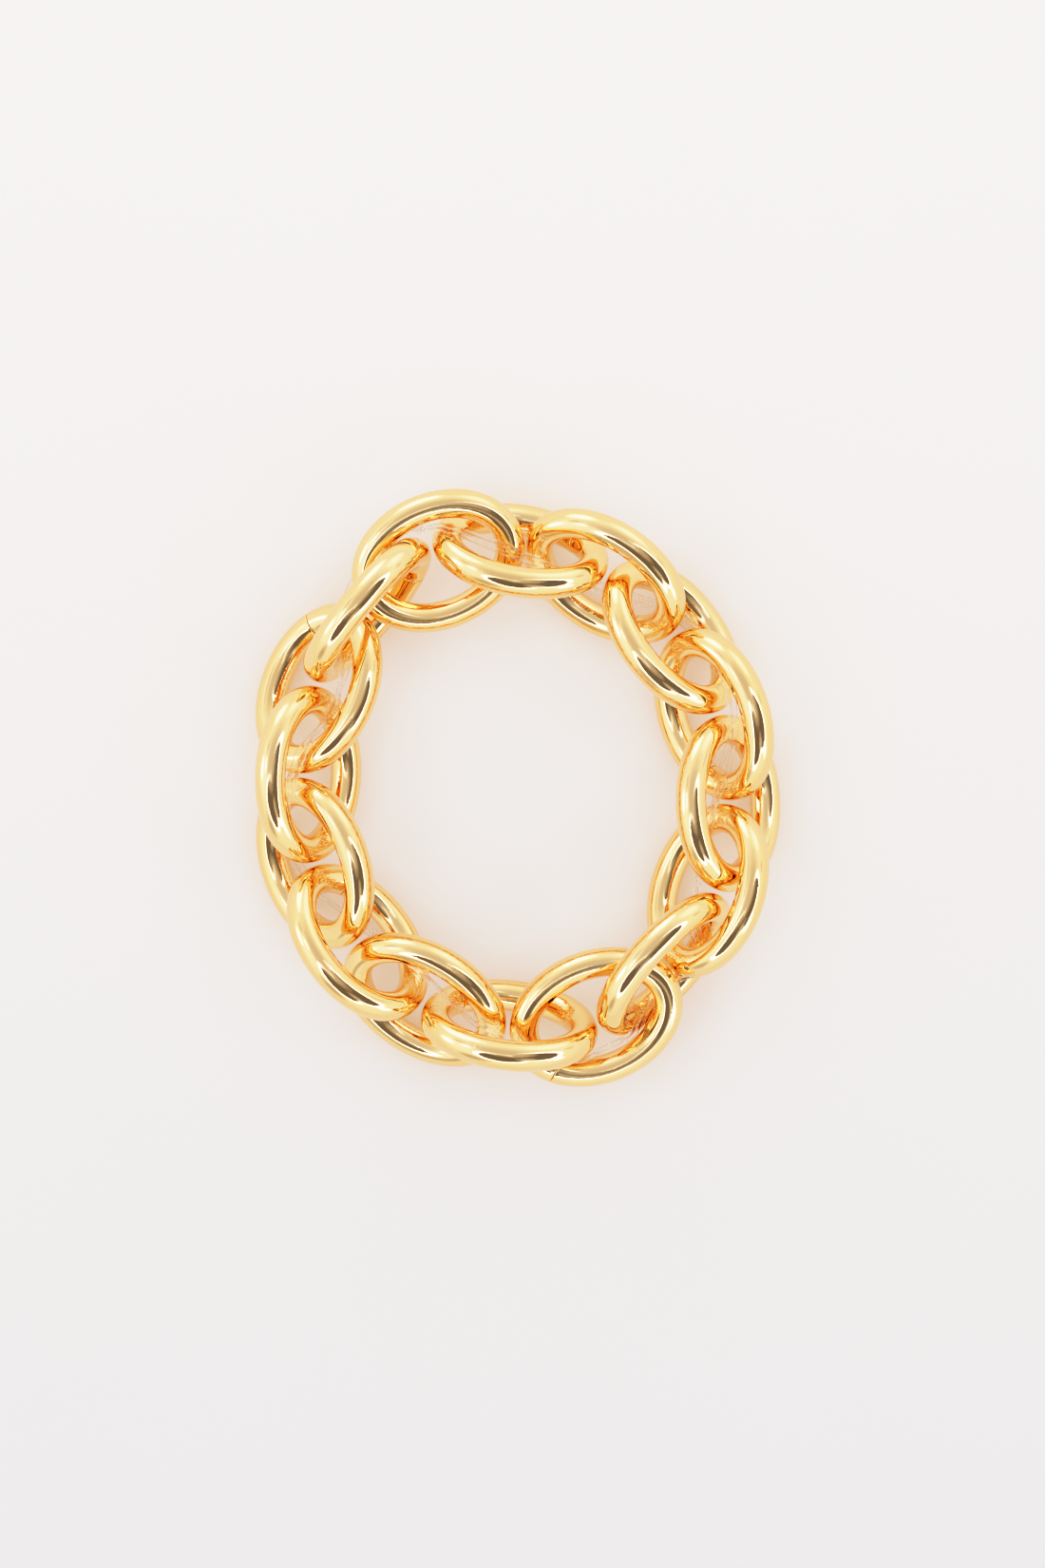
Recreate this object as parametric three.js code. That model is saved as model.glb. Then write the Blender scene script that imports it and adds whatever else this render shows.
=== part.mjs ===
import * as THREE from 'three';

// Stretch link bracelet lying flat on a table, in millimetres, +Z up.
// Sixteen equal oval links run clockwise, seen from above, from link_01 at the back (+Y).
// Each link is rolled about its own long axis, one way and then the other, so that it
// passes through its two neighbours. A clear elastic cord goes round twice inside the
// links, is tied in one knot, and pulls every second link tip to tip.

// ---- One link ----
const LINK_LENGTH = 30.8;
const LINK_WIDTH = 24;
const LIMB_THICKNESS = 5.0; // in the plane of the oval
const LIMB_DEPTH = 5.4; // square to that plane
const SEAM_OPENING = 0.2; // the slit through which each moulded link is slipped on its neighbours
const SEAM_ANGLE = -38; // degrees round the oval from its leading tip
const LIMB_SIDES = 12;
const LIMB_STEPS = 26;

// ---- How the links lie, in degrees and millimetres, link_01 first ----
// Headings are the ways that the links' long axes run, seen from above, from +X towards +Y.
// Rolls turn each link about its long axis, from lying flat towards its outer limb being up.
// Outsets and lifts move a link out of the ring's middle line and up onto its neighbours.
const HEADINGS = [-8, -33, -51, -71, -89, -108, -132, -158, -187, -211, -233, -251, -272, -292, -310, -338];
const ROLLS = [-53, 45, -45, 46, -45, 43, -65, -17, -119, -38, -135, -42, -130, -36, -100, 18];
const OUTSETS = [0.8, 0.3, 1.3, 0.3, 1, -0.4, 0.5, 1.8, 1, 1, 1.2, 0.3, -0.3, 0, 0, 0.8];
const LIFTS = [0, 0, 0, 0, 0, 0, 0, 1.6, 0, 0, 0, 0, 0, 0, 0, 2.3];
const TIP_CLEARANCE = 0.3; // between the tips of link n and link n + 2
const LINK_CLEARANCE = 0.3; // between the limbs of two links that pass through each other
const SETTLINGS = 40; // passes of drawing tips together and moving crowded links apart
const DRAW_SHARE = 0.4; // how much of the slack between two tips one pass takes up

// ---- Elastic cord ----
const CORD_DIAMETER = 0.8;
const CORD_TURNS = 2;
const CORD_SIDES = 8;
const CORD_CLEARANCE = 0.35; // to the limbs and between its own turns
const CORD_LIFT = 0.9; // how far off the tips the cord starts, before it is pulled taut
const PULLS = 120; // passes of pulling the cord straight and pushing it clear
const PUSHES = 60; // passes of only pushing it clear
const PULL_SHARE = 0.1; // how far the first pass moves a point towards a straight line
const KNOT_LINK = 14; // the knot lies between the tips inside links 14 and 15
const KNOT_DIAMETER = 2.4;
const KNOT_LENGTH = 3.2;
const KNOT_SIDES = 12;

const UP = new THREE.Vector3(0, 0, 1);
const LINKS = ROLLS.length;
const OVAL_LONG = (LINK_LENGTH - LIMB_THICKNESS) / 2;
const OVAL_SHORT = (LINK_WIDTH - LIMB_THICKNESS) / 2;

const radians = THREE.MathUtils.degToRad;
const wrap = (index) => (index + LINKS) % LINKS;

function finish(colour, roughness, metalness) {
  return new THREE.MeshStandardMaterial({ color: colour, roughness, metalness });
}

// The closed ring of a limb's or cord's section, as an ellipse of straight sides.
function ellipseShape(acrossX, acrossY, sides) {
  const corners = [];
  for (let i = 0; i < sides; i += 1) {
    const angle = (2 * Math.PI * i) / sides;
    corners.push(new THREE.Vector2((acrossX / 2) * Math.cos(angle), (acrossY / 2) * Math.sin(angle)));
  }
  return new THREE.Shape(corners);
}

// The middle line of a link: an oval in its own XY plane, X along it, open at the seam.
class LinkOval extends THREE.Curve {
  getPoint(t, target = new THREE.Vector3()) {
    const slit = SEAM_OPENING / OVAL_SHORT;
    const angle = radians(SEAM_ANGLE) + slit / 2 + t * (2 * Math.PI - slit);
    return target.set(OVAL_LONG * Math.cos(angle), OVAL_SHORT * Math.sin(angle), 0);
  }
}

// A taut line through given points, one step of the tube from each point to the next.
class TautLine extends THREE.Curve {
  constructor(points) {
    super();
    this.points = points;
  }

  getUtoTmapping(u) {
    return u;
  }

  getPoint(t, target = new THREE.Vector3()) {
    const place = t * (this.points.length - 1);
    const first = Math.min(Math.floor(place), this.points.length - 2);
    return target.lerpVectors(this.points[first], this.points[first + 1], place - first);
  }

  getTangent(t, target = new THREE.Vector3()) {
    const last = this.points.length - 1;
    const at = Math.round(t * last);
    const here = this.points[at];
    const back = here.clone().sub(this.points[Math.max(at - 1, 0)]).normalize();
    const ahead = this.points[Math.min(at + 1, last)].clone().sub(here).normalize();
    return target.addVectors(back, ahead).normalize();
  }
}

// Half the angle by which the ring turns between two links whose tips meet.
function halfTurn(a, b) {
  const turn = THREE.MathUtils.euclideanModulo(HEADINGS[a] - HEADINGS[b] + 180, 360) - 180;
  return Math.abs(radians(turn)) / 2;
}

// How far a rolled link reaches from its middle towards an upright plane that is
// turned by the given angle from square across the link.
function reach(link, angle) {
  const along = Math.cos(angle);
  const across = Math.sin(angle) * Math.cos(radians(ROLLS[link]));
  const through = Math.sin(angle) * Math.sin(radians(ROLLS[link]));
  const oval = Math.hypot(OVAL_LONG * along, OVAL_SHORT * across);
  const limb = Math.hypot((LIMB_THICKNESS / 2) * Math.hypot(along, across), (LIMB_DEPTH / 2) * through);
  return oval + limb;
}

// The height of a rolled link's middle when its lower limb rests on the table.
function restingHeight(link) {
  const roll = radians(ROLLS[link]);
  const limb = Math.hypot((LIMB_THICKNESS / 2) * Math.sin(roll), (LIMB_DEPTH / 2) * Math.cos(roll));
  return OVAL_SHORT * Math.abs(Math.sin(roll)) + limb;
}

// The corners of the two rings that the odd and the even links form, tip to tip.
// corners[n] is where the long axes of the links before and after link n meet.
function ringCorners() {
  const corners = new Array(LINKS);
  for (const parity of [0, 1]) {
    const sides = [];
    for (let link = parity; link < LINKS; link += 2) {
      let length = 0;
      for (const other of [wrap(link - 2), wrap(link + 2)]) {
        const angle = halfTurn(link, other);
        length += (reach(link, angle) + TIP_CLEARANCE / 2) / Math.cos(angle);
      }
      const heading = radians(HEADINGS[link]);
      sides.push(new THREE.Vector3(Math.cos(heading), Math.sin(heading), 0).multiplyScalar(length));
    }
    const leftOver = new THREE.Vector3();
    sides.forEach((side) => leftOver.addScaledVector(side, 1 / sides.length));
    const ends = [];
    const walk = new THREE.Vector3();
    const middle = new THREE.Vector3();
    for (const side of sides) {
      walk.add(side).sub(leftOver);
      ends.push(walk.clone());
      middle.addScaledVector(walk, 1 / sides.length);
    }
    ends.forEach((end, i) => {
      corners[wrap(parity + 2 * i + 1)] = end.sub(middle);
    });
  }
  corners.forEach((corner, n) => {
    corner.z = Math.max(restingHeight(wrap(n - 1)), restingHeight(wrap(n + 1)));
  });
  return corners;
}

// Where each link's middle is, and its own axes: along it, across its oval, and square to it.
function placeLinks(corners) {
  return ROLLS.map((rollDegrees, link) => {
    const start = corners[wrap(link - 1)];
    const end = corners[wrap(link + 1)];
    const along = end.clone().sub(start).normalize();
    const outward = new THREE.Vector3().crossVectors(UP, along).normalize();
    const lift = new THREE.Vector3().crossVectors(along, outward);
    const roll = radians(rollDegrees);
    const across = outward.clone().multiplyScalar(Math.cos(roll)).addScaledVector(lift, Math.sin(roll));
    const square = new THREE.Vector3().crossVectors(along, across);
    const middle = start.clone().lerp(end, 0.5);
    middle.addScaledVector(outward, OUTSETS[link]).addScaledVector(UP, LIFTS[link]);
    return { middle, along, across, square };
  });
}

// The middle line of a link's limb, as points round the oval.
function limbLine({ middle, along, across }) {
  const steps = 3 * LIMB_STEPS;
  return Array.from({ length: steps }, (_, i) => {
    const angle = (2 * Math.PI * i) / steps;
    const point = middle.clone().addScaledVector(along, OVAL_LONG * Math.cos(angle));
    return point.addScaledVector(across, OVAL_SHORT * Math.sin(angle));
  });
}

// How far a limb reaches from its middle line towards a neighbour.
function limbReach({ square }, towards) {
  const through = Math.abs(square.dot(towards));
  return Math.hypot((LIMB_THICKNESS / 2) * Math.sqrt(1 - through * through), (LIMB_DEPTH / 2) * through);
}

// The least distance between the limbs of two links, and the way from the first to the second there.
function limbGap(first, second) {
  const nearest = { gap: Infinity, away: null };
  const secondLine = limbLine(second);
  for (const point of limbLine(first)) {
    for (const other of secondLine) {
      const away = other.clone().sub(point);
      const distance = away.length();
      away.divideScalar(distance);
      const gap = distance - limbReach(first, away) - limbReach(second, away);
      if (gap < nearest.gap) {
        nearest.gap = gap;
        nearest.away = away;
      }
    }
  }
  return nearest;
}

// Draws the tips of every second link together, and moves neighbours that come too near
// each other apart, sideways to their long axes.
function settleLinks(places) {
  for (let pass = 0; pass < SETTLINGS; pass += 1) {
    places.forEach((here, n) => {
      const beyond = places[wrap(n + 2)];
      const along = beyond.middle.clone().sub(here.middle).setZ(0).normalize();
      const slack = (limbGap(here, beyond).gap - TIP_CLEARANCE) * DRAW_SHARE;
      here.middle.addScaledVector(along, slack / 2);
      beyond.middle.addScaledVector(along, -slack / 2);
    });
    places.forEach((here, n) => {
      const next = places[wrap(n + 1)];
      const { gap, away } = limbGap(here, next);
      if (gap < LINK_CLEARANCE) {
        away.multiplyScalar((LINK_CLEARANCE - gap) / 2);
        here.middle.sub(away.clone().projectOnPlane(here.along));
        next.middle.add(away.clone().projectOnPlane(next.along));
      }
    });
  }
}

function makeLinks(places) {
  const section = ellipseShape(LIMB_DEPTH, LIMB_THICKNESS, LIMB_SIDES);
  return places.map(({ middle, along, across, square }, n) => {
    const geometry = new THREE.ExtrudeGeometry(section, { extrudePath: new LinkOval(), steps: LIMB_STEPS });
    const link = new THREE.Mesh(geometry, finish(0xe3bd74, 0.1, 1));
    link.name = `link_${String(n + 1).padStart(2, '0')}`;
    link.position.copy(middle);
    link.setRotationFromMatrix(new THREE.Matrix4().makeBasis(along, across, square));
    if (across.z < 0) {
      link.rotateX(Math.PI); // the slit is on the lower limb of every link
    }
    return link;
  });
}

// Where the cord starts out beside the tip of a link, at its start (-1) or its end (+1),
// inside link n. It passes on the outer side of two links' tips and then on the inner side
// of two, so that it winds through every link. Its turns lie half a twist round each other.
function besideTip(places, tip, end, n, turn) {
  const { middle, along, across, square } = places[wrap(tip)];
  const outerSide = wrap(n + 2) % 4 < 2 ? 1 : -1;
  const side = outerSide * Math.sign(square.dot(places[wrap(n)].across));
  const twist = Math.PI * (wrap(n - KNOT_LINK) / LINKS + turn);
  const spread = CORD_DIAMETER + CORD_CLEARANCE;
  const height = LIMB_DEPTH / 2 + CORD_DIAMETER + CORD_LIFT + spread * Math.sin(twist);
  return middle
    .clone()
    .addScaledVector(along, end * OVAL_LONG)
    .addScaledVector(across, spread * Math.cos(twist))
    .addScaledVector(square, side * height);
}

// Pushes the straight run between two points off a third point that it comes too near.
function pushOff(from, to, point, distance) {
  const run = new THREE.Line3(from, to);
  const at = run.closestPointToPointParameter(point, true);
  const away = run.at(at, new THREE.Vector3()).sub(point);
  const short = distance - away.length();
  if (short > 0) {
    away.setLength(short);
    from.addScaledVector(away, 1 - at);
    to.addScaledVector(away, at);
  }
}

// Moves two points apart until the run between them is at least so long.
function spread(from, to, length) {
  const run = to.clone().sub(from);
  const short = length - run.length();
  if (short > 0) {
    run.setLength(short / 2);
    from.sub(run);
    to.add(run);
  }
}

// The closed route of the cord: round through every link, pulled taut and clear of the limbs
// and of its own other turn. The knot lies in the run from the last point to the first.
function cordRoute(places) {
  const route = [];
  for (let turn = 0; turn < CORD_TURNS; turn += 1) {
    for (let n = KNOT_LINK; n < KNOT_LINK + LINKS; n += 1) {
      route.push(besideTip(places, n - 1, 1, n, turn), besideTip(places, n + 1, -1, n, turn));
    }
  }
  const limbs = places.map(limbLine);
  const around = (i) => route[(i + route.length) % route.length];
  for (let pull = 0; pull < PULLS + PUSHES; pull += 1) {
    const share = PULL_SHARE * Math.max(0, 1 - pull / PULLS);
    route.forEach((point, i) => {
      point.lerp(around(i - 1).clone().lerp(around(i + 1), 0.5), share);
    });
    route.forEach((point, i) => {
      const radius = (i === route.length - 1 ? KNOT_DIAMETER : CORD_DIAMETER) / 2;
      const link = KNOT_LINK + Math.floor(i / 2);
      for (let near = link - 2; near <= link + 3; near += 1) {
        for (const limbPoint of limbs[wrap(near)]) {
          pushOff(point, around(i + 1), limbPoint, LIMB_DEPTH / 2 + CORD_CLEARANCE + radius);
        }
      }
      for (let beside = i + 2 * LINKS - 1; beside <= i + 2 * LINKS + 1; beside += 0.25) {
        const other = around(Math.floor(beside)).clone().lerp(around(Math.floor(beside) + 1), beside % 1);
        pushOff(point, around(i + 1), other, radius + CORD_CLEARANCE + CORD_DIAMETER / 2);
      }
    });
    spread(route[route.length - 1], route[0], KNOT_LENGTH + 2 * CORD_CLEARANCE + CORD_DIAMETER);
  }
  return route;
}

function knotPlace(route) {
  const before = route[route.length - 1];
  const after = route[0];
  return { middle: before.clone().lerp(after, 0.5), along: after.clone().sub(before).normalize() };
}

function makeCord(route, knot) {
  const knotEnd = KNOT_LENGTH / 2 + CORD_CLEARANCE;
  const start = knot.middle.clone().addScaledVector(knot.along, knotEnd);
  const end = knot.middle.clone().addScaledVector(knot.along, -knotEnd);
  const path = new TautLine([start, ...route, end]);
  const section = ellipseShape(CORD_DIAMETER, CORD_DIAMETER, CORD_SIDES);
  const geometry = new THREE.ExtrudeGeometry(section, { extrudePath: path, steps: path.points.length - 1 });
  const cord = new THREE.Mesh(geometry, finish(0xf2efe8, 0.15, 0));
  cord.name = 'elastic_cord';
  return cord;
}

// Two half hitches pulled tight, as one body with a waist.
function makeKnot(knot) {
  const radius = KNOT_DIAMETER / 2;
  const half = KNOT_LENGTH / 2;
  const profile = [
    new THREE.Vector2(0, -half),
    new THREE.Vector2(0.6 * radius, -0.9 * half),
    new THREE.Vector2(radius, -0.5 * half),
    new THREE.Vector2(0.75 * radius, 0),
    new THREE.Vector2(radius, 0.5 * half),
    new THREE.Vector2(0.6 * radius, 0.9 * half),
    new THREE.Vector2(0, half),
  ];
  const mesh = new THREE.Mesh(new THREE.LatheGeometry(profile, KNOT_SIDES), finish(0xf2efe8, 0.2, 0));
  mesh.name = 'cord_knot';
  mesh.position.copy(knot.middle);
  mesh.quaternion.setFromUnitVectors(new THREE.Vector3(0, 1, 0), knot.along);
  return mesh;
}

const corners = ringCorners();
const places = placeLinks(corners);
settleLinks(places);
const route = cordRoute(places);
const knot = knotPlace(route);

const bracelet = new THREE.Group();
bracelet.add(...makeLinks(places), makeCord(route, knot), makeKnot(knot));

const box = new THREE.Box3().setFromObject(bracelet, true);
const centre = box.getCenter(new THREE.Vector3());
bracelet.position.set(-centre.x, -centre.y, -box.min.z);

export default bracelet;
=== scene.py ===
import math

import bpy
import numpy as np
from mathutils import Matrix, Vector, noise


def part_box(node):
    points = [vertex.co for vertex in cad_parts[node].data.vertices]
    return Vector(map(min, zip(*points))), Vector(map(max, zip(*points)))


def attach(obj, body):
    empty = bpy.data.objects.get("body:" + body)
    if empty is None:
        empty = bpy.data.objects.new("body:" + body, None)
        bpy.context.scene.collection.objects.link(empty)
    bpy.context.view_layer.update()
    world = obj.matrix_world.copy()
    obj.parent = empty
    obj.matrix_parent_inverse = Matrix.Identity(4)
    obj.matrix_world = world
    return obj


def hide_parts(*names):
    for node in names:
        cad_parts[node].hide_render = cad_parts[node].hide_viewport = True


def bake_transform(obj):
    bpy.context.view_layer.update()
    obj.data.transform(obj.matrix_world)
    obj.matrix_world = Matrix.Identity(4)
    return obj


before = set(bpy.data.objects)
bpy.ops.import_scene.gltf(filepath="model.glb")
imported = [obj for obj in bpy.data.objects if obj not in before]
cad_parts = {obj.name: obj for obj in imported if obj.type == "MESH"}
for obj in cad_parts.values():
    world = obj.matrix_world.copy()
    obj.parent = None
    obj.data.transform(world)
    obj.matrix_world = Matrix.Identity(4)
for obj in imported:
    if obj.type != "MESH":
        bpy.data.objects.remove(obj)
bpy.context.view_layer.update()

# ---- Links, in metres ----
LINKS = [f"link_{n:02d}" for n in range(1, 17)]
LIMB_DEPTH_SHARE = 5.4 / 5.0  # a limb's depth square to its oval, to its thickness in the oval
SEAM_ANGLE = math.radians(-38)  # round the oval from the leading tip
SEAM_OPENING = 0.0001
SEAM_LIP = 0.00012  # radius of the moulded edge at the slit
LIP_TURNS = [math.radians(turn) for turn in (0, 30, 60, 90)]
ROUND_STEPS = 120
LIMB_STEPS = 36
RIPPLE = 0.00003  # how far a polished moulding wanders from its true shape
RIPPLE_SCALE = 160
FINE_RIPPLE_SCALE = 600
FINE_RIPPLE_SHARE = 0.2

# ---- Elastic cord ----
CORD_SIDES = 14
CORD_SPACING = 0.0012  # between the rings of its skin
CORD_SOFTENING = 0.0012  # how much of a straight run is taken to round its corner
CORNER_SHARE = 0.4  # the most of a run that one corner takes
CAD_RING_WIDTH = 0.001  # corners of one ring of the CAD cord's skin lie nearer together than this
MERGE_DECIMALS = 7
KNOT_STRAND_SHARE = 0.75  # how thin the cord is pulled in its knot
KNOT_STEPS = 72
KNOT_HALF_LENGTH = 0.00126
KNOT_LOOP = 0.0006375  # radius of the curl
KNOT_SWAY = 0.0002975  # how far the curl leans to and fro along the cord
KNOT_LIFT = 0.00017

# ---- Camera and table ----
CAMERA_HEIGHT = 0.700
CAMERA_ACROSS = 0.0008
CAMERA_ALONG = 0.0009
FRAME_HEIGHT = 0.2723  # how much of the table the picture's height takes in
SENSOR_HEIGHT = 36  # millimetres
TABLE_HALF_WIDTH = 1.5
TABLE_LIT_HALF = 0.14  # the card's glow changes from this far in front of the ring to as far behind it

# ---- Colours, linear ----
GOLD_PALE = (1.0, 0.665, 0.305, 1)
GOLD_DEEP = (1.0, 0.640, 0.270, 1)
ELASTIC_CLEAR = (1.0, 0.985, 0.96, 1)
ELASTIC_MILKY = (0.95, 0.925, 0.88, 1)
CARD_DARKER = (0.40, 0.400, 0.385, 1)
CARD_LIGHTER = (0.42, 0.420, 0.405, 1)
# Painted light: the card's glow, brighter behind the ring than in front of it
CARD_GLOW_FRONT = (0.49, 0.45, 0.41, 1)
CARD_GLOW_BACK = (0.74, 0.64, 0.55, 1)
CARD_SHADE = (0.46, 0.25, 0.11, 1)  # painted shade where the links close the card in, warmed by a painted reflection of the gold
WARM_LIGHT = (1.0, 0.98, 0.95)
COOL_LIGHT = (1.0, 1.02, 1.30)

# ---- Light tent ----
TENT_STRENGTH = 1.2
WALL_FOOT = (0.92, 0.0)  # brightness, and how cool the light is
WALL_TOP = (1.10, 0.1)
# Patches seen in the tent: azimuth from +X, angle from straight up, radius and softness in degrees,
# brightness, and how cool their light is. Later ones cover earlier ones.
PATCHES = [
    (0, 0, 38, 16, 0.74, 0.2),  # the open top of the tent
    (180, 52, 20, 12, 1.25, 0.5),  # daylight from the left
    (-20, 30, 30, 1.5, 3.4, 1.0),  # bright edges of daylight round the camera and a sleeve beside it
    (-104, 32, 28, 1.5, 3.4, 1.0),
    (-20, 30, 24.5, 1.5, 0.15, 0.7),  # the dark camera and sleeve
    (-104, 32, 22.5, 1.5, 0.15, 0.7),
    (-62, 36, 7, 5, 0.50, 0.5),
    (95, 8, 20, 12, 0.60, 0.4),
    (-36, 63, 8, 4, 2.6, 1.0),  # lamps behind the cloth
    (176, 66, 8, 4, 2.8, 1.0),
    (172, 40, 5, 3, 2.2, 1.0),
    (112, 70, 13, 6, 2.2, 0.8),
    (60, 66, 12, 8, 1.5, 0.5),
    (150, 48, 6, 4, 0.70, 0.3),  # folds of the cloth
    (-125, 74, 12, 6, 0.50, 0.0),
    (20, 66, 5, 3, 0.70, 0.0),
    (85, 38, 5, 3, 0.80, 0.0),
]

# ---- Film ----
# How bright each brightness in the scene comes out in the picture: a soft toe and a long shoulder.
FILM_RANGE = 4.0
FILM_CURVE = [
    (0.05, 0.032),
    (0.15, 0.135),
    (0.4, 0.41),
    (0.7, 0.69),
    (1.0, 0.86),
    (1.3, 0.93),
    (1.8, 0.97),
    (2.6, 0.99),
]

rng = np.random.default_rng(7)


# ---- Materials ----
def new_material(name):
    material = bpy.data.materials.new(name)
    material.use_nodes = True
    return material, material.node_tree.nodes, material.node_tree.links


def noise_texture(nodes, links, vector, scale, detail, roughness=0.5):
    texture = nodes.new("ShaderNodeTexNoise")
    texture.inputs["Scale"].default_value = scale
    texture.inputs["Detail"].default_value = detail
    texture.inputs["Roughness"].default_value = roughness
    links.new(vector, texture.inputs["Vector"])
    return texture.outputs["Fac"]


def map_range(nodes, links, value, low, high, to_low=0, to_high=1):
    node = nodes.new("ShaderNodeMapRange")
    node.inputs["From Min"].default_value = low
    node.inputs["From Max"].default_value = high
    node.inputs["To Min"].default_value = to_low
    node.inputs["To Max"].default_value = to_high
    links.new(value, node.inputs["Value"])
    return node.outputs["Result"]


def mix_colours(nodes, links, factor, first, second):
    """From the first colour to the second, each a plain colour or another node's output."""
    node = nodes.new("ShaderNodeMix")
    node.data_type = "RGBA"
    links.new(factor, node.inputs["Factor"])
    for socket, colour in (("A", first), ("B", second)):
        if isinstance(colour, tuple):
            node.inputs[socket].default_value = colour
        else:
            links.new(colour, node.inputs[socket])
    return node.outputs["Result"]


def bump(nodes, links, height, distance, strength=1.0, normal=None):
    node = nodes.new("ShaderNodeBump")
    node.inputs["Distance"].default_value = distance
    node.inputs["Strength"].default_value = strength
    links.new(height, node.inputs["Height"])
    if normal is not None:
        links.new(normal, node.inputs["Normal"])
    return node.outputs["Normal"]


def gold_plate():
    """Mirror-polished pale gold plating on moulded links: faint haze, orange peel and a few specks."""
    material, nodes, links = new_material("gold_plate")
    shader = nodes["Principled BSDF"]
    place = nodes.new("ShaderNodeTexCoord").outputs["Object"]
    shader.inputs["Metallic"].default_value = 1.0

    tone = noise_texture(nodes, links, place, scale=90, detail=3)
    tint = mix_colours(nodes, links, map_range(nodes, links, tone, 0.35, 0.65), GOLD_PALE, GOLD_DEEP)
    links.new(tint, shader.inputs["Base Color"])

    haze = noise_texture(nodes, links, place, scale=260, detail=5, roughness=0.65)
    gloss = map_range(nodes, links, haze, 0.35, 0.75, to_low=0.02, to_high=0.07)
    links.new(gloss, shader.inputs["Roughness"])

    peel = noise_texture(nodes, links, place, scale=700, detail=2)
    normal = bump(nodes, links, peel, distance=0.00002)
    specks = nodes.new("ShaderNodeTexVoronoi")
    specks.inputs["Scale"].default_value = 130
    specks.inputs["Randomness"].default_value = 1.0
    links.new(place, specks.inputs["Vector"])
    speck = map_range(nodes, links, specks.outputs["Distance"], 0.02, 0.055, to_low=1, to_high=0)
    normal = bump(nodes, links, speck, distance=0.00003, strength=0.8, normal=normal)
    links.new(normal, shader.inputs["Normal"])
    return material


def clear_elastic():
    """Clear stretchy cord with a slightly milky tone and a faintly uneven skin."""
    material, nodes, links = new_material("clear_elastic")
    shader = nodes["Principled BSDF"]
    place = nodes.new("ShaderNodeTexCoord").outputs["Object"]
    shader.inputs["Transmission Weight"].default_value = 0.96
    shader.inputs["IOR"].default_value = 1.2
    shader.inputs["Alpha"].default_value = 0.55

    milk = noise_texture(nodes, links, place, scale=500, detail=3)
    links.new(mix_colours(nodes, links, milk, ELASTIC_CLEAR, ELASTIC_MILKY), shader.inputs["Base Color"])
    gloss = map_range(nodes, links, milk, 0.3, 0.7, to_low=0.03, to_high=0.08)
    links.new(gloss, shader.inputs["Roughness"])

    skin = noise_texture(nodes, links, place, scale=900, detail=1)
    links.new(bump(nodes, links, skin, distance=0.000004), shader.inputs["Normal"])
    return material


def table_card():
    """White card with a barely visible mottle and a painted glow, as if lit from below, brighter towards
    the back and with painted shade where the links close it in, so that its shadows are faint.
    """
    material, nodes, links = new_material("table_card")
    shader = nodes["Principled BSDF"]
    place = nodes.new("ShaderNodeTexCoord").outputs["Object"]
    shader.inputs["Specular IOR Level"].default_value = 0.2
    shader.inputs["Roughness"].default_value = 0.75
    shader.inputs["Emission Strength"].default_value = 1.0

    mottle = noise_texture(nodes, links, place, scale=25, detail=4)
    links.new(mix_colours(nodes, links, mottle, CARD_DARKER, CARD_LIGHTER), shader.inputs["Base Color"])

    # Painted light: the card's glow grows brighter from the front of the ring to the back
    split = nodes.new("ShaderNodeSeparateXYZ")
    links.new(place, split.inputs["Vector"])
    back_share = map_range(nodes, links, split.outputs["Y"], -TABLE_LIT_HALF, TABLE_LIT_HALF)
    glow = mix_colours(nodes, links, back_share, CARD_GLOW_FRONT, CARD_GLOW_BACK)
    # Painted shade: the glow darkens and turns warm where the links close the card in
    open_share = nodes.new("ShaderNodeAmbientOcclusion")
    open_share.samples = 8
    open_share.inputs["Distance"].default_value = 0.013
    lit = mix_colours(nodes, links, open_share.outputs["AO"], CARD_SHADE, glow)
    links.new(lit, shader.inputs["Emission Color"])
    return material


# ---- Reading the CAD solids ----
def triangles_of(node):
    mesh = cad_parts[node].data
    mesh.calc_loop_triangles()
    points = np.array([v.co for v in mesh.vertices], float)
    corners = np.array([t.vertices for t in mesh.loop_triangles])
    return points[corners]


def corner_volumes(triangles):
    """The signed volume of the pyramid from each triangle to the origin."""
    a, b, c = triangles[:, 0], triangles[:, 1], triangles[:, 2]
    return np.einsum("ij,ij->i", a, np.cross(b, c)) / 6


def link_place(node, next_centre):
    """A link's middle and its axes along, across and square to its oval, from its solid's moments."""
    tri = triangles_of(node)
    volume = corner_volumes(tri)
    centre = (tri.sum(1) * volume[:, None]).sum(0) / 4 / volume.sum()
    tri = tri - centre
    volume = corner_volumes(tri)
    a, b, c = tri[:, 0], tri[:, 1], tri[:, 2]
    spread = np.zeros((3, 3))
    for p in (a, b, c, a + b + c):
        spread += np.einsum("i,ij,ik->jk", volume, p, p) / 20
    _, axes = np.linalg.eigh(spread)
    along, across = axes[:, 2], axes[:, 1]
    if along @ (next_centre - centre) < 0:
        along = -along
    # The slit leaves out a little skin, so the skin's middle lies away from it.
    area = np.linalg.norm(np.cross(b - a, c - a), axis=1)
    skin_centre = (tri.mean(1) * area[:, None]).sum(0) / area.sum()
    if skin_centre @ across * math.sin(SEAM_ANGLE) < 0:
        across = -across
    square = np.cross(along, across)
    sizes = [np.ptp(tri.reshape(-1, 3) @ axis) for axis in (along, across, square)]
    return {"centre": centre, "along": along, "across": across, "square": square, "sizes": sizes}


def measure_links():
    rough = [triangles_of(n).reshape(-1, 3).mean(0) for n in LINKS]
    return [link_place(n, rough[(i + 1) % len(LINKS)]) for i, n in enumerate(LINKS)]


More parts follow.
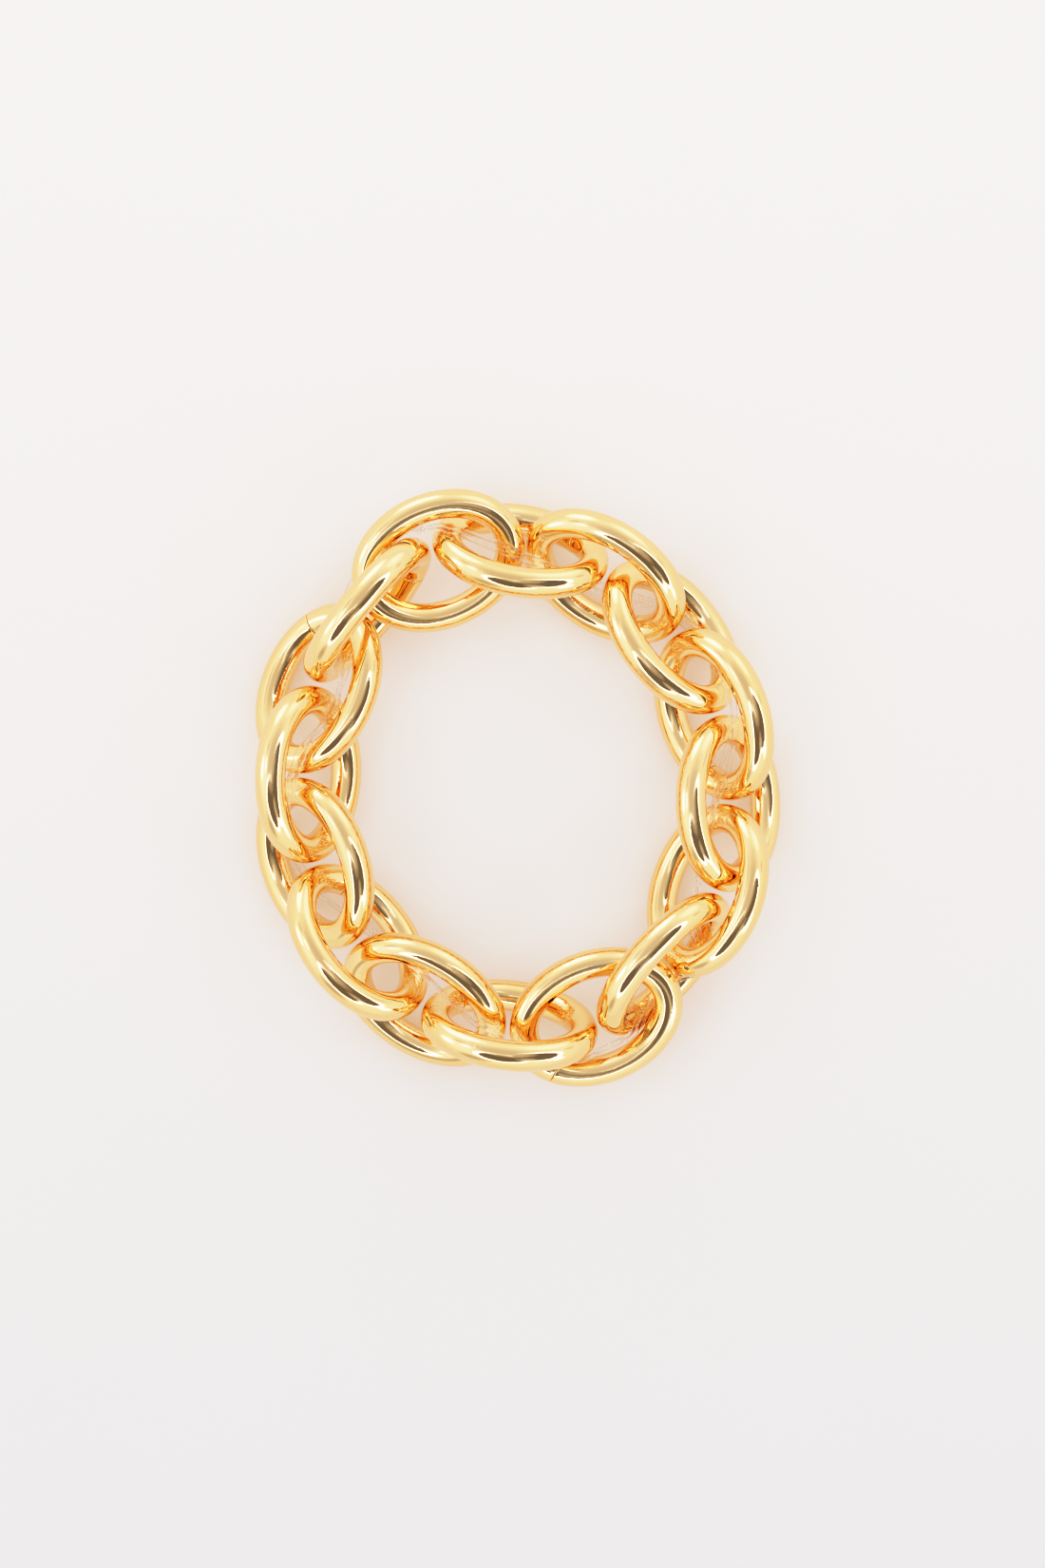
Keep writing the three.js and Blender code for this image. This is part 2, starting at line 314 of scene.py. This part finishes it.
def cord_stations():
    """The middle of each ring of the CAD cord's skin, in order from one side of the knot."""
    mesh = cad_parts["elastic_cord"].data
    points = np.array([v.co for v in mesh.vertices], float)
    rounded = np.round(points, MERGE_DECIMALS)
    _, first, merged = np.unique(rounded, axis=0, return_index=True, return_inverse=True)
    merged = merged.reshape(-1)
    points = points[first]
    near = [set() for _ in points]
    for edge in mesh.edges:
        i, j = merged[edge.vertices[0]], merged[edge.vertices[1]]
        if i != j:
            near[i].add(j)
            near[j].add(i)
    low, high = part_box("cord_knot")
    knot = np.array((low + high) / 2)
    start = points[np.linalg.norm(points - knot, axis=1).argmin()]
    ring = {i for i, point in enumerate(points) if np.linalg.norm(point - start) < CAD_RING_WIDTH}
    seen, stations = set(), []
    while ring:
        stations.append(points[sorted(ring)].mean(0))
        seen |= ring
        ring = {j for i in ring for j in near[i]} - seen
    return [Vector(s) for s in stations]


def cord_radius():
    """From the CAD cord's own skin: the corners of its first ring lie on a circle of this radius."""
    points = triangles_of("elastic_cord").reshape(-1, 3)
    distances = np.linalg.norm(points - np.array(cord_stations()[0]), axis=1)
    return float(distances[distances < CAD_RING_WIDTH].max())


# ---- Mesh helpers ----
def mesh_object(name, vertices, faces, material, smooth=True):
    mesh = bpy.data.meshes.new(name)
    mesh.from_pydata([tuple(v) for v in vertices], [], faces)
    mesh.materials.append(material)
    if smooth:
        mesh.polygons.foreach_set("use_smooth", [True] * len(mesh.polygons))
    mesh.validate()
    mesh.update()
    piece = bpy.data.objects.new(name, mesh)
    bpy.context.scene.collection.objects.link(piece)
    return piece


def skin_rings(rings):
    """Faces between rings of equally many points, with each end closed by a fan to its middle."""
    count = len(rings[0])
    vertices = [v for ring in rings for v in ring]
    faces = []
    for r in range(len(rings) - 1):
        for k in range(count):
            n = (k + 1) % count
            faces.append((r * count + k, r * count + n, (r + 1) * count + n, (r + 1) * count + k))
    for r, flip in ((0, True), (len(rings) - 1, False)):
        middle = len(vertices)
        vertices.append(sum((Vector(v) for v in rings[r]), Vector()) / count)
        for k in range(count):
            n = (k + 1) % count
            face = (r * count + k, r * count + n, middle)
            faces.append(face[::-1] if flip else face)
    return vertices, faces


# ---- Links ----
def oval_rings(sizes):
    """Rings of a link in its own frame, from one side of the slit to the other.

    X runs along the oval, Y across it and Z square to it.
    """
    length, width, depth = sizes
    thickness = depth / LIMB_DEPTH_SHARE
    long_radius = (length - thickness) / 2
    short_radius = (width - thickness) / 2
    slit = SEAM_OPENING / short_radius
    lip = SEAM_LIP / short_radius
    whole = 2 * math.pi - slit
    # Each place is a turn from the slit, and how far the skin is drawn in there to round the lip.
    leading = [(lip * (1 - math.cos(t)), SEAM_LIP * (1 - math.sin(t))) for t in LIP_TURNS]
    between = [(lip + (whole - 2 * lip) * i / ROUND_STEPS, 0.0) for i in range(1, ROUND_STEPS)]
    trailing = [(whole - turn, inset) for turn, inset in reversed(leading)]
    rings = []
    for turn, inset in leading + between + trailing:
        angle = SEAM_ANGLE + slit / 2 + turn
        middle = Vector((long_radius * math.cos(angle), short_radius * math.sin(angle), 0))
        tangent = Vector((-long_radius * math.sin(angle), short_radius * math.cos(angle), 0)).normalized()
        outward = Vector((tangent.y, -tangent.x, 0))
        ring = []
        for k in range(LIMB_STEPS):
            around = -2 * math.pi * k / LIMB_STEPS
            out = (thickness / 2 - inset) * math.cos(around)
            up = (depth / 2 - inset) * math.sin(around)
            ring.append(middle + outward * out + Vector((0, 0, up)))
        rings.append(ring)
    return rings


def make_link(node, place, material):
    along, across, square, centre = (Vector(place[k]) for k in ("along", "across", "square", "centre"))
    turn = Matrix((along, across, square)).transposed()
    wander = Vector(rng.uniform(-9, 9, 3))  # so that no two links ripple alike
    placed = []
    for ring in oval_rings(place["sizes"]):
        middle = sum(ring, Vector()) / len(ring)
        moved = []
        for v in ring:
            broad = noise.noise(v * RIPPLE_SCALE + wander)
            fine = noise.noise(v * FINE_RIPPLE_SCALE + wander)
            v = v + (v - middle).normalized() * RIPPLE * (broad + FINE_RIPPLE_SHARE * fine)
            moved.append(centre + turn @ v)
        placed.append(moved)
    vertices, faces = skin_rings(placed)
    piece = mesh_object(f"gold_{node}", vertices, faces, material)
    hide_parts(node)
    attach(piece, node)


# ---- Elastic cord ----
def softened(points):
    """The same line with each corner rounded by a short curve."""
    line = [points[0]]
    for before, corner, after in zip(points, points[1:], points[2:]):
        into = before - corner
        out = after - corner
        start = corner + into.normalized() * min(CORD_SOFTENING, into.length * CORNER_SHARE)
        end = corner + out.normalized() * min(CORD_SOFTENING, out.length * CORNER_SHARE)
        for t in (0, 0.25, 0.5, 0.75, 1):
            line.append(start.lerp(corner, t).lerp(corner.lerp(end, t), t))
    line.append(points[-1])
    return line


def filled(points, spacing):
    """The same line with points at most so far apart."""
    line = [points[0]]
    for a, b in zip(points, points[1:]):
        steps = max(1, math.ceil((b - a).length / spacing))
        line += [a.lerp(b, i / steps) for i in range(1, steps + 1)]
    return line


def tube_rings(line, radius):
    """Rings round a line, kept from twisting."""
    rings = []
    side = (line[1] - line[0]).normalized().orthogonal().normalized()
    for i, point in enumerate(line):
        tangent = (line[min(i + 1, len(line) - 1)] - line[max(i - 1, 0)]).normalized()
        side = (side - tangent * side.dot(tangent)).normalized()
        up = tangent.cross(side)
        ring = []
        for k in range(CORD_SIDES):
            around = 2 * math.pi * k / CORD_SIDES
            ring.append(point + radius * (side * math.cos(around) + up * math.sin(around)))
        rings.append(ring)
    return rings


def joined_tubes(name, lines, radius, material):
    vertices, faces = [], []
    for line in lines:
        tube_vertices, tube_faces = skin_rings(tube_rings(line, radius))
        faces += [tuple(i + len(vertices) for i in face) for face in tube_faces]
        vertices += tube_vertices
    return mesh_object(name, vertices, faces, material)


def cut_by_spokes(line, spokes):
    """The stretches of a line between each spoke of the ring and the next, clockwise from the first."""
    swings = [(spokes[0] - spoke) % (2 * math.pi) for spoke in spokes]

    def sector(point):
        swing = (spokes[0] - math.atan2(point.y, point.x)) % (2 * math.pi)
        return max(i for i, from_here in enumerate(swings) if swing >= from_here)

    runs = [[] for _ in spokes]
    current = [line[0]]
    here = sector(line[0])
    for point in line[1:]:
        there = sector(point)
        current.append(point)
        if there != here:
            runs[here].append(current)
            current = [point]
            here = there
    runs[here].append(current)
    return [[stretch for stretch in run if len(stretch) > 1] for run in runs]


def make_cord(places, material):
    """The cord, cut at the middles of the odd links and of link_16."""
    line = filled(softened(cord_stations()), CORD_SPACING)
    radius = cord_radius()
    bodies = LINKS[0::2] + [LINKS[-1]]
    middles = [Vector(place["centre"]) for place in places[0::2] + [places[-1]]]
    spokes = [math.atan2(middle.y, middle.x) for middle in middles]
    for i, lines in enumerate(cut_by_spokes(line, spokes)):
        piece = joined_tubes(f"elastic_{i + 1:02d}", lines, radius, material)
        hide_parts("elastic_cord")
        if i + 1 < len(bodies):
            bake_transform(piece)
        else:
            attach(piece, "link_01")  # the ring is opened between link_16 and link_01


def make_knot(material):
    """The cord's ends drawn together in one tight curl."""
    low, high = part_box("cord_knot")
    middle = (low + high) / 2
    stations = cord_stations()
    along = (stations[0] - stations[-1]).normalized()
    side = along.orthogonal().normalized()
    up = along.cross(side)
    line = []
    for i in range(KNOT_STEPS + 1):
        share = i / KNOT_STEPS
        turn = 2 * math.pi * share
        x = KNOT_HALF_LENGTH * (2 * share - 1) + KNOT_SWAY * math.sin(2 * turn)
        y = KNOT_LOOP * math.cos(turn)
        z = KNOT_LOOP * math.sin(turn) + KNOT_LIFT * math.sin(3 * turn)
        line.append(middle + along * x + side * y + up * z)
    piece = joined_tubes("elastic_knot", [line], cord_radius() * KNOT_STRAND_SHARE, material)
    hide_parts("cord_knot")
    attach(piece, "link_15")


# ---- Studio ----
def make_camera():
    data = bpy.data.cameras.new("camera")
    camera = bpy.data.objects.new("camera", data)
    bpy.context.scene.collection.objects.link(camera)
    camera.location = (CAMERA_ACROSS, CAMERA_ALONG, CAMERA_HEIGHT)
    data.sensor_fit = "VERTICAL"
    data.sensor_height = SENSOR_HEIGHT
    data.lens = SENSOR_HEIGHT * CAMERA_HEIGHT / FRAME_HEIGHT
    data.clip_start = 0.01
    data.clip_end = 10
    bpy.context.scene.camera = camera


def make_floor():
    half = TABLE_HALF_WIDTH
    corners = [(-half, -half, 0), (half, -half, 0), (half, half, 0), (-half, half, 0)]
    floor = mesh_object("floor", corners, [(0, 1, 2, 3)], table_card(), smooth=False)


def light_colour(brightness, cool):
    shares = [warm + (cold - warm) * cool for warm, cold in zip(WARM_LIGHT, COOL_LIGHT)]
    return (*[brightness * share for share in shares], 1)


def make_light_tent():
    """A white light tent round the table: even walls, the camera's dark outline and brighter lamps."""
    world = bpy.data.worlds.new("light_tent")
    bpy.context.scene.world = world
    world.use_nodes = True
    nodes, links = world.node_tree.nodes, world.node_tree.links
    background = nodes["Background"]
    way = nodes.new("ShaderNodeTexCoord").outputs["Generated"]
    split = nodes.new("ShaderNodeSeparateXYZ")
    links.new(way, split.inputs["Vector"])
    height_share = map_range(nodes, links, split.outputs["Z"], 0.0, 0.5)
    light = mix_colours(nodes, links, height_share, light_colour(*WALL_FOOT), light_colour(*WALL_TOP))
    for azimuth, zenith, radius, softness, brightness, cool in PATCHES:
        across, down = math.radians(azimuth), math.radians(zenith)
        aim = (math.sin(down) * math.cos(across), math.sin(down) * math.sin(across), math.cos(down))
        dot = nodes.new("ShaderNodeVectorMath")
        dot.operation = "DOT_PRODUCT"
        dot.inputs[1].default_value = aim
        links.new(way, dot.inputs[0])
        outer, inner = (math.cos(math.radians(radius + side * softness)) for side in (1, -1))
        share = map_range(nodes, links, dot.outputs["Value"], outer, inner)
        light = mix_colours(nodes, links, share, light, light_colour(brightness, cool))
    links.new(light, background.inputs["Color"])
    background.inputs["Strength"].default_value = TENT_STRENGTH


def set_film_curve():
    view = bpy.context.scene.view_settings
    view.view_transform = "Standard"
    view.use_curve_mapping = True
    mapping = view.curve_mapping
    mapping.white_level = (FILM_RANGE, FILM_RANGE, FILM_RANGE)
    all_channels = mapping.curves[3]
    for seen, shown in FILM_CURVE:
        all_channels.points.new(seen / FILM_RANGE, shown)
    mapping.update()


gold = gold_plate()
elastic = clear_elastic()
places = measure_links()
make_camera()
make_floor()
make_light_tent()
for node, place in zip(LINKS, places):
    make_link(node, place, gold)
make_cord(places, elastic)
make_knot(elastic)
set_film_curve()
